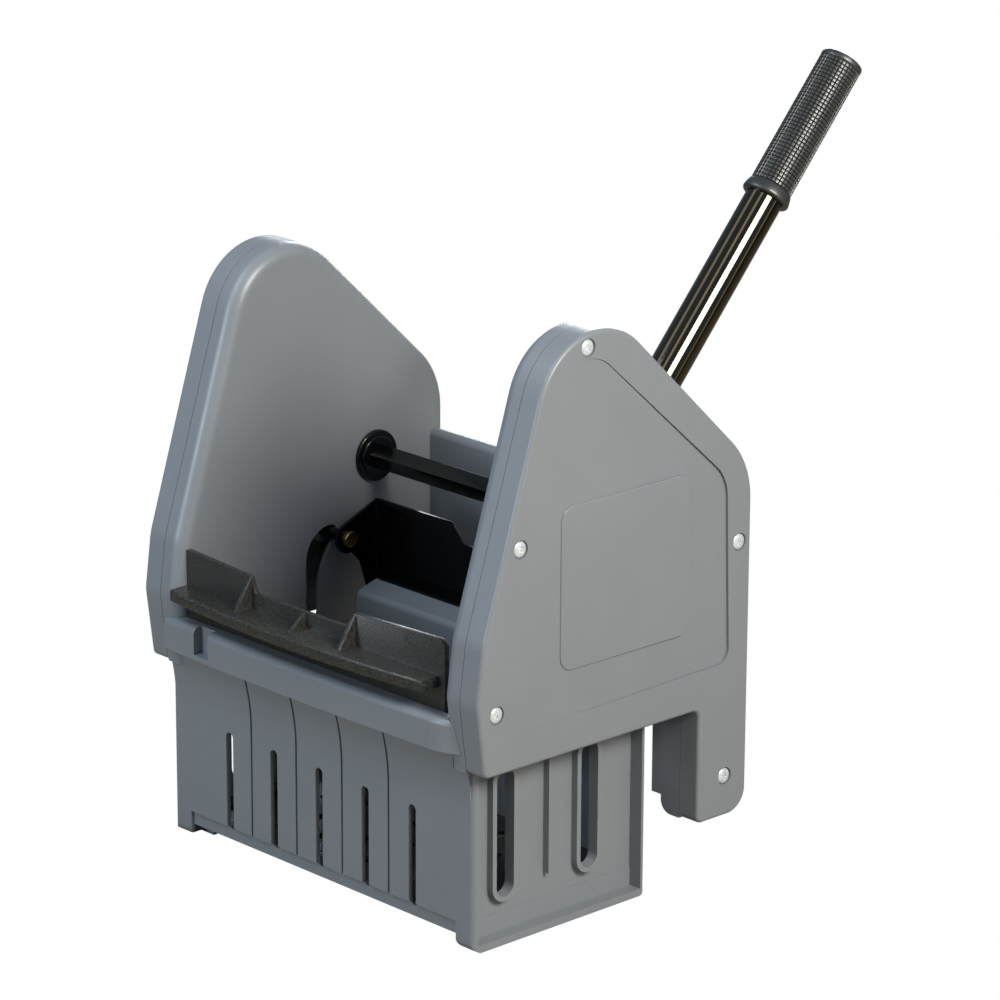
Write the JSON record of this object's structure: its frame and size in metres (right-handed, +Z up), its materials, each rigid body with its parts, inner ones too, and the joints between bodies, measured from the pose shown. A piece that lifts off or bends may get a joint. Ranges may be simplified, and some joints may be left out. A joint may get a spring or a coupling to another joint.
{
  "type": "mop wringer",
  "caption": "Down-press mop wringer that hooks into a bucket: grey drain basket between tall side housings, with a rear lever that drives a level press pad through gears.",
  "frame": {"origin": "midway between the basket's sides, 74 mm behind its front wall, level with the underside of its feet", "axes": "+Z up, -Y towards the front lip where the mop is pressed, +X towards the lever"},
  "size_m": [0.3272, 0.3586, 0.5374],
  "materials": {
    "grey_body": "satin moulded",
    "black_plastic": "satin",
    "black_steel": "gloss black",
    "black_chrome": "polished black",
    "grip_rubber": "waffle texture",
    "zinc_screws": "zinc plated",
    "gear_nylon": "moulded",
    "plain_steel": "zinc plated",
    "brass": "dull"
  },
  "bodies": {
    "housing": {"basket": "grey_body", "bottom_sieve": "black_plastic", "left_side_frame": "grey_body", "right_side_frame": "grey_body", "left_cover": "grey_body", "right_cover": "grey_body", "cover_screws_left": "zinc_screws", "cover_screws_right": "zinc_screws", "rear_panel": "grey_body", "rear_panel_screws": "zinc_screws", "basket_screws": "zinc_screws", "front_press_plate": "black_plastic", "gear_pivot_left": "plain_steel", "gear_pivot_right": "plain_steel", "stay_pivot_left": "plain_steel", "stay_pivot_right": "plain_steel", "return_spring": "plain_steel"},
    "lever": {"cross_shaft": "black_steel", "shaft_bush_left": "black_plastic", "shaft_bush_right": "black_plastic", "shaft_end_screws": "zinc_screws", "upper_gear_left": "gear_nylon", "upper_gear_right": "gear_nylon", "handle_socket": "plain_steel", "handle_tube": "black_chrome", "handle_grip": "grip_rubber", "handle_pins": "plain_steel"},
    "press_arms": {"lower_gear_left": "gear_nylon", "lower_gear_right": "gear_nylon"},
    "stays": {"stay_link_left": "plain_steel", "stay_link_right": "plain_steel"},
    "press": {"press_bracket": "black_steel", "press_pad": "grey_body", "pad_screws": "zinc_screws", "press_pin_left": "black_steel", "press_pin_right": "black_steel", "pin_nut_left": "brass", "pin_nut_right": "brass", "press_hanger_left": "plain_steel", "press_hanger_right": "plain_steel"}
  },
  "joints": [
    {"name": "handle_push", "type": "hinge", "parent": "housing", "child": "lever", "pos_m": [0, 0.0907, 0.2352], "axis": [-1, 0, 0], "range_deg": [0, 60], "stiffness_Nm_per_rad": 1.2, "springref_deg": -57.3},
    {"name": "press_arm_swing", "type": "hinge", "parent": "housing", "child": "press_arms", "pos_m": [0, 0.095, 0.14605], "axis": [1, 0, 0], "range_deg": [0, 49.3], "deforming": ["return_spring"]},
    {"name": "stay_swing", "type": "hinge", "parent": "housing", "child": "stays", "pos_m": [0, 0.095, 0.18005], "axis": [1, 0, 0], "range_deg": [0, 49.3]},
    {"name": "press_level", "type": "hinge", "parent": "press_arms", "child": "press", "pos_m": [0, 0.05, 0.1885], "axis": [-1, 0, 0], "range_deg": [0, 49.3]}
  ],
  "couplings": [
    {"joint": "press_arm_swing", "follows": "handle_push", "ratio": 0.82143},
    {"joint": "stay_swing", "follows": "handle_push", "ratio": 0.82143},
    {"joint": "press_level", "follows": "handle_push", "ratio": 0.82143}
  ]
}
